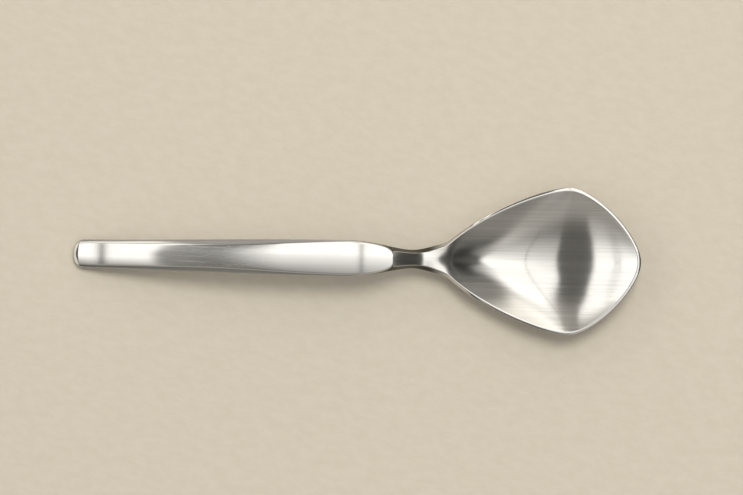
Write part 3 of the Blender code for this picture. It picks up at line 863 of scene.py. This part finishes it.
def nicks():
    """Tiny dents: dots of random size in a few of the cells of a Voronoi pattern."""
    tree, given, put = effect("nicks", [("Spacing", 1.0 * MM), ("Share", 0.3), ("Size", 0.2)], ["Mask"])
    cells = tree.nodes.new("ShaderNodeTexVoronoi")
    cells.inputs["Scale"].default_value = 1.0
    tree.links.new(drawn_out(tree, object_place(tree), given["Spacing"], given["Spacing"]), cells.inputs["Vector"])
    chance = tree.nodes.new("ShaderNodeSeparateColor")
    tree.links.new(cells.outputs["Color"], chance.inputs[0])
    size = product(tree, given["Size"], chance.outputs["Green"])
    dot = ramp(tree, cells.outputs["Distance"], product(tree, size, NICK_CORE), size, 1.0, 0.0)
    chosen = compute(tree, "LESS_THAN", chance.outputs["Red"], given["Share"])
    feed(tree, put["Mask"], product(tree, dot, chosen))
    return tree


def handling_marks():
    """Faint smears left by fingers and cloths: soft noise of a set size."""
    tree, given, put = effect("handling_marks", [("Size", 9 * MM)], ["Mask"])
    place = drawn_out(tree, object_place(tree), given["Size"], given["Size"])
    smear = noise(tree, place, detail=4.0, roughness=0.6)
    feed(tree, put["Mask"], ramp(tree, smear, *SMEAR_RANGE, 0.0, 1.0))
    return tree


def painted_shade_sides():
    """Painted shade on the sides and underneath, full between two places along X."""
    places = ("Start", "Full", "Fade", "End")
    tree, given, put = effect("painted_shade_sides", list(zip(places, (0.0, 1.0, 2.0, 3.0))), ["Mask"])
    reach = band(tree, along_x(tree), *(given[place] for place in places))
    side = compute(tree, "MINIMUM", product(tree, point_mark(tree, "flank"), PAINTED_SHADE_GAIN), 1.0)
    feed(tree, put["Mask"], product(tree, reach, side))
    return tree


def new_material(name):
    """New material: its tree and its shader."""
    material = bpy.data.materials.new(name)
    material.use_nodes = True
    return material, material.node_tree, material.node_tree.nodes["Principled BSDF"]


def metal(name):
    """New metal: its material, tree and shader."""
    material, tree, shader = new_material(name)
    shader.inputs["Metallic"].default_value = 1.0
    shader.inputs["Specular IOR Level"].default_value = STEEL_SPECULAR
    return material, tree, shader


def relief(tree, shader, height, distance):
    """Bump over the surface, with heights from 0 to 1 over a distance."""
    bump = tree.nodes.new("ShaderNodeBump")
    bump.inputs["Distance"].default_value = distance
    bump.inputs["Strength"].default_value = 1.0
    tree.links.new(height, bump.inputs["Height"])
    tree.links.new(bump.outputs[0], shader.inputs["Normal"])


def brushed_along_x(tree, shader, strength):
    """Spreads reflections across the brush lines more than along them."""
    tangent = tree.nodes.new("ShaderNodeTangent")
    tangent.direction_type = "RADIAL"
    tangent.axis = "X"
    tree.links.new(tangent.outputs[0], shader.inputs["Tangent"])
    shader.inputs["Anisotropic"].default_value = strength


def with_painted_shade(tree, shader, tone, dark):
    """Gives a shader its tone, and painted shade: a dark coat with little metal in it where the mask is."""
    feed(tree, shader.inputs["Base Color"], blend(tree, dark, tone, PAINTED_SHADE_COLOUR))
    feed(tree, shader.inputs["Metallic"], without(tree, product(tree, dark, PAINTED_SHADE_DULLING)))


def satin_steel(lines, scratches, smears, painted_shade_effect):
    """The bowl's steel, brushed lengthwise, with a polished rim and light marks of use."""
    material, tree, shader = metal("satin_steel")
    brushed = placed(tree, lines, Length=BRUSH_LENGTH, Width=BRUSH_WIDTH)
    scratch = placed(tree, scratches, Turn=0.05, Length=14 * MM, Width=0.15 * MM, Level=0.70)["Mask"]
    smear = placed(tree, smears, Size=11 * MM)["Mask"]
    # painted shade on the neck's sides and underside, fading out on the bowl's back wall
    dark = placed(tree, painted_shade_effect, Start=BUTT, Full=NOSE, Fade=SADDLE, End=WALL)["Mask"]
    keep = without(tree, point_mark(tree, "edge_polish"))
    height = compute(tree, "SUBTRACT", brushed["Height"], product(tree, scratch, SCRATCH_DEPTH))
    relief(tree, shader, product(tree, height, keep), SATIN_RELIEF)
    brushed_along_x(tree, shader, SATIN_STRETCH)
    rough = total(tree, ramp(tree, brushed["Tone"], *NOISE_RANGE, -LINE_ROUGH, LINE_ROUGH),
                  ramp(tree, along_x(tree), SADDLE, TROUGH, *SATIN_ROUGH), product(tree, smear, SMEAR_ROUGH))
    feed(tree, shader.inputs["Roughness"], product(tree, rough, ramp(tree, keep, 0.0, 1.0, RIM_POLISH, 1.0)))
    line = total(tree, product(tree, brushed["Tone"], BROAD_SHARE), product(tree, brushed["Height"], 1 - BROAD_SHARE))
    tone = blend(tree, ramp(tree, line, *LINE_RANGE, 0.0, 1.0), SATIN_DARK, SATIN_LIGHT)
    tone = blend(tree, product(tree, smear, SATIN_SMEAR), tone, SATIN_SMEARED)
    with_painted_shade(tree, shader, tone, dark)
    return material


def polished_steel(lines, scratches, dents, smears, painted_shade_effect):
    """The handle's steel, polished, and worn dull and nicked where the fingers hold it."""
    material, tree, shader = metal("polished_steel")
    flank, polish = point_mark(tree, "flank"), point_mark(tree, "edge_polish")
    worn = product(tree, band(tree, along_x(tree), GRIP_START, GRIP_FULL, GRIP_FADE, GRIP_END),
                   without(tree, compute(tree, "MAXIMUM", flank, polish)))
    brushed = placed(tree, lines, Length=BRUSH_LENGTH, Width=BRUSH_WIDTH)
    scratch = compute(tree, "MAXIMUM",
                      placed(tree, scratches, Turn=0.03, Length=9 * MM, Width=0.14 * MM, Level=0.64)["Mask"],
                      placed(tree, scratches, Turn=-0.14, Length=6 * MM, Width=0.16 * MM, Level=0.70)["Mask"])
    nick = placed(tree, dents, Spacing=0.8 * MM, Share=0.35, Size=0.26)["Mask"]
    smear = placed(tree, smears, Size=7 * MM)["Mask"]
    # painted shade on the sides and underside near the nose, and some along all the handle's flanks
    dark = placed(tree, painted_shade_effect, Start=NOSE_START, Full=NOSE, Fade=WAIST, End=ROOT)["Mask"]
    dark = compute(tree, "MAXIMUM", dark, product(tree, flank, FLANK_PAINTED_SHADE))
    wear = ramp(tree, worn, 0.0, 1.0, LEAST_WEAR, 1.0)
    hurt = product(tree, compute(tree, "MAXIMUM", scratch, nick), wear)
    height = compute(tree, "SUBTRACT", product(tree, brushed["Height"], BRUSH_DEPTH),
                     product(tree, nick, wear, NICK_DEPTH))
    relief(tree, shader, product(tree, height, without(tree, polish)), POLISHED_RELIEF)
    rough = total(tree, ramp(tree, worn, 0.0, 1.0, *POLISHED_ROUGH), product(tree, smear, SMEAR_ROUGH),
                  product(tree, hurt, HURT_ROUGH))
    feed(tree, shader.inputs["Roughness"], rough)
    tone = blend(tree, ramp(tree, brushed["Tone"], *NOISE_RANGE, 0.0, 1.0), POLISHED_DARK, POLISHED_LIGHT)
    tone = blend(tree, product(tree, smear, POLISHED_SMEAR), tone, POLISHED_SMEARED)
    tone = blend(tree, product(tree, hurt, HURT_SHINE), tone, HURT_STEEL)
    with_painted_shade(tree, shader, tone, dark)
    return material


def soft_solder(smears):
    """The joint's solder, dull and a little blotched."""
    material, tree, shader = metal("soft_solder")
    blotch = placed(tree, smears, Size=1.2 * MM)["Mask"]
    feed(tree, shader.inputs["Base Color"], blend(tree, blotch, SOLDER_LIGHT, SOLDER_DARK))
    feed(tree, shader.inputs["Roughness"], ramp(tree, blotch, 0.0, 1.0, *SOLDER_ROUGH))
    return material


def studio_light():
    """World light by direction: a wide softbox overhead, another to the left, a low window, and a dim room.

    Two angles name a direction: sideways, from the vertical towards +X, and back, towards +Y.
    """
    world = bpy.data.worlds.new("studio")
    bpy.context.scene.world = world
    world.use_nodes = True
    tree = world.node_tree
    x, y, z = split(tree, tree.nodes.new("ShaderNodeTexCoord").outputs["Generated"])

    def degrees(rise, run):
        """Angle whose tangent is a rise over a run."""
        return compute(tree, "DEGREES", compute(tree, "ARCTAN2", rise, run))

    def slanted(lean):
        """Angle towards +X on circles through a pole that leans that way: straight lines on a crowned face."""
        cosine, sine = math.cos(lean), math.sin(lean)
        across = compute(tree, "SUBTRACT", product(tree, x, cosine), product(tree, z, sine))
        up = total(tree, product(tree, z, cosine), product(tree, x, sine))
        half = compute(tree, "ARCTAN2", across, total(tree, up, 1.0))
        return compute(tree, "DEGREES", total(tree, product(tree, half, 2.0), lean))

    def seam(angle, centre, half_width, depth):
        """Dimming by a narrow dark line between two panels: 1 - depth / (1 + t^2)^2."""
        t = compute(tree, "DIVIDE", compute(tree, "SUBTRACT", angle, centre), half_width)
        spread = compute(tree, "POWER", total(tree, product(tree, t, t), 1.0), 2.0)
        return without(tree, compute(tree, "DIVIDE", depth, spread))

    def edge(angle, place, softness, low, high):
        """Smooth step across an edge, from a softness before its place to as much after it."""
        t = compute(tree, "DIVIDE", compute(tree, "SUBTRACT", angle, place), softness)
        return ramp(tree, t, -1.0, 1.0, low, high)

    def bend(beyond, pull):
        """How far an edge bends beyond its straight part: a parabola."""
        beyond = compute(tree, "MAXIMUM", beyond, 0.0)
        return product(tree, beyond, beyond, pull)

    sideways, back, round_about = degrees(x, z), degrees(y, z), degrees(y, x)
    height = compute(tree, "DEGREES", compute(tree, "ARCSINE", z))
    slant = slanted(0.0)
    tilt = compute(tree, "ABSOLUTE", back)
    bends = total(tree, bend(compute(tree, "SUBTRACT", back, BEND_BACK), BEND_BACK_PULL),
                  bend(compute(tree, "SUBTRACT", BEND_FRONT, back), BEND_FRONT_PULL))
    left_soft = ramp(tree, back, *OVERHEAD_LEFT_SOFT, smooth=False)
    right_soft = ramp(tree, tilt, *OVERHEAD_RIGHT_SOFT)
    fall = total(tree, back, product(tree, sideways, FALL_SLANT))
    overhead = product(
        tree,
        edge(compute(tree, "SUBTRACT", sideways, OVERHEAD_LEFT), bends, left_soft, 0.0, 1.0),
        edge(sideways, ramp(tree, tilt, *OVERHEAD_RIGHT), right_soft, 1.0, 0.0),
        ramp(tree, back, *OVERHEAD_BACK),
        ramp(tree, fall, *OVERHEAD_FALL, smooth=False),
        seam(slant, *OVERHEAD_SEAM))
    inner_bends = total(tree, *(ramp(tree, back, *fade) for fade in LEFT_INNER_BENDS))
    left = product(
        tree,
        ramp(tree, compute(tree, "SUBTRACT", slant, inner_bends), *LEFT_INNER),
        ramp(tree, sideways, *LEFT_OUTER),
        compute(tree, "POWER", ramp(tree, back, *LEFT_FRONT, smooth=False), LEFT_FRONT_POWER),
        ramp(tree, back, *LEFT_BACK),
        seam(slanted(LEFT_SEAM_LEAN), *LEFT_SEAM))
    window = product(
        tree,
        total(tree, *(band(tree, round_about, *pane) for pane in WINDOW_PANES)),
        ramp(tree, back, *WINDOW_BACK),
        ramp(tree, height, *WINDOW_SILL))
    far_left = product(
        tree,
        ramp(tree, compute(tree, "ABSOLUTE", round_about), *FAR_LEFT),
        ramp(tree, height, *FAR_LEFT_FOOT),
        ramp(tree, height, *FAR_LEFT_HEAD))
    near = product(tree, ramp(tree, back, *NEAR_DARK), ramp(tree, sideways, *NEAR_DARK_END))
    right = product(tree, ramp(tree, sideways, *RIGHT_DARK), *(ramp(tree, tilt, *fade) for fade in RIGHT_DARK_TILTS))
    room = product(tree, ramp(tree, tilt, *ROOM), without(tree, near), without(tree, right))
    horizon = ramp(tree, height, *HORIZON)
    panels = product(tree, total(tree, overhead, left), horizon)
    warmth = total(tree, product(tree, room, horizon), total(tree, window, far_left))

    light = tree.nodes.new("ShaderNodeVectorMath")
    light.operation = "MULTIPLY_ADD"
    light.inputs[0].default_value = PANEL_LIGHT
    tree.links.new(panels, light.inputs[1])
    warm = tree.nodes.new("ShaderNodeVectorMath")
    warm.operation = "SCALE"
    warm.inputs[0].default_value = ROOM_LIGHT
    tree.links.new(warmth, warm.inputs["Scale"])
    tree.links.new(warm.outputs[0], light.inputs[2])
    tree.links.new(light.outputs[0], tree.nodes["Background"].inputs["Color"])


def table_top():
    """Pale, matt table under the spoon."""
    mesh = bpy.data.meshes.new("table_top")
    corners = [(x * TABLE_SIZE, y * TABLE_SIZE, -HAIRLINE) for x, y in ((-1, -1), (1, -1), (1, 1), (-1, 1))]
    mesh.from_pydata(corners, [], [(0, 1, 2, 3)])
    table = in_scene("table_top", mesh)
    material, tree, shader = new_material("pale_table")
    fibre = noise(tree, drawn_out(tree, object_place(tree), *TABLE_FIBRE), detail=6.0, roughness=0.65)
    feed(tree, shader.inputs["Base Color"],
         blend(tree, ramp(tree, fibre, *NOISE_RANGE, 0.0, 1.0), TABLE_DARK, TABLE_LIGHT))
    shader.inputs["Roughness"].default_value = TABLE_ROUGH
    mesh.materials.append(material)


def lamp():
    """Soft lamp high on the far side, which throws the spoon's shadow on the table."""
    light = bpy.data.lights.new("lamp", "AREA")
    light.shape = "DISK"
    light.size = LAMP_SIZE
    light.energy = LAMP_POWER
    light.color = LAMP_LIGHT
    lit = in_scene("lamp", light)
    lit.location = LAMP_PLACE
    lit.rotation_euler = (-math.atan2(LAMP_PLACE[1], LAMP_PLACE[2]), 0, 0)
    lit.visible_glossy = False


def camera():
    """Camera straight above the table, turned a little against the spoon."""
    lens = bpy.data.cameras.new("camera")
    lens.sensor_width = SENSOR_WIDTH
    lens.lens = SENSOR_WIDTH * (CAMERA_PLACE[2] - RIM_HEIGHT) / VIEW_WIDTH
    view = in_scene("camera", lens)
    view.location = CAMERA_PLACE
    view.rotation_euler = (0, 0, CAMERA_TURN)
    bpy.context.scene.camera = view


def main():
    """Builds both skins, their finishes, the table, the light and the camera."""
    rings, marks = handle_rings()
    mouth = tang_ring(rings[-1], HAIRLINE, SOCKET_DIAMETER)
    end = tang_ring(rings[-1], SOCKET_DEPTH, SOCKET_DIAMETER)
    handle = skin("handle_skin", np.concatenate([rings, [mouth, end]]), marks, zipped=False)
    rings, marks = bowl_rings()
    root = tang_ring(rings[0], -HAIRLINE, TANG_DIAMETER)
    end = tang_ring(rings[0], TANG_LENGTH, TANG_DIAMETER)
    bowl = skin("bowl_skin", np.concatenate([[end, root], rings]), marks, zipped=True)
    lines, scratches, smears, painted_shade_effect = brush_lines(), hairline_scratches(), handling_marks(), painted_shade_sides()
    finishes = ((handle, "handle", "handle_steel", polished_steel(lines, scratches, nicks(), smears, painted_shade_effect)),
                (bowl, "bowl", "bowl_steel", satin_steel(lines, scratches, smears, painted_shade_effect)))
    for piece, node, slot, material in finishes:
        piece.data.materials.append(material)
        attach(piece, "root")
        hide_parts(node)
    bpy.data.objects["tang_solder"].material_slots[0].material = soft_solder(smears)
    studio_light()
    table_top()
    lamp()
    camera()
    bpy.context.scene.view_settings.view_transform = "Standard"


main()
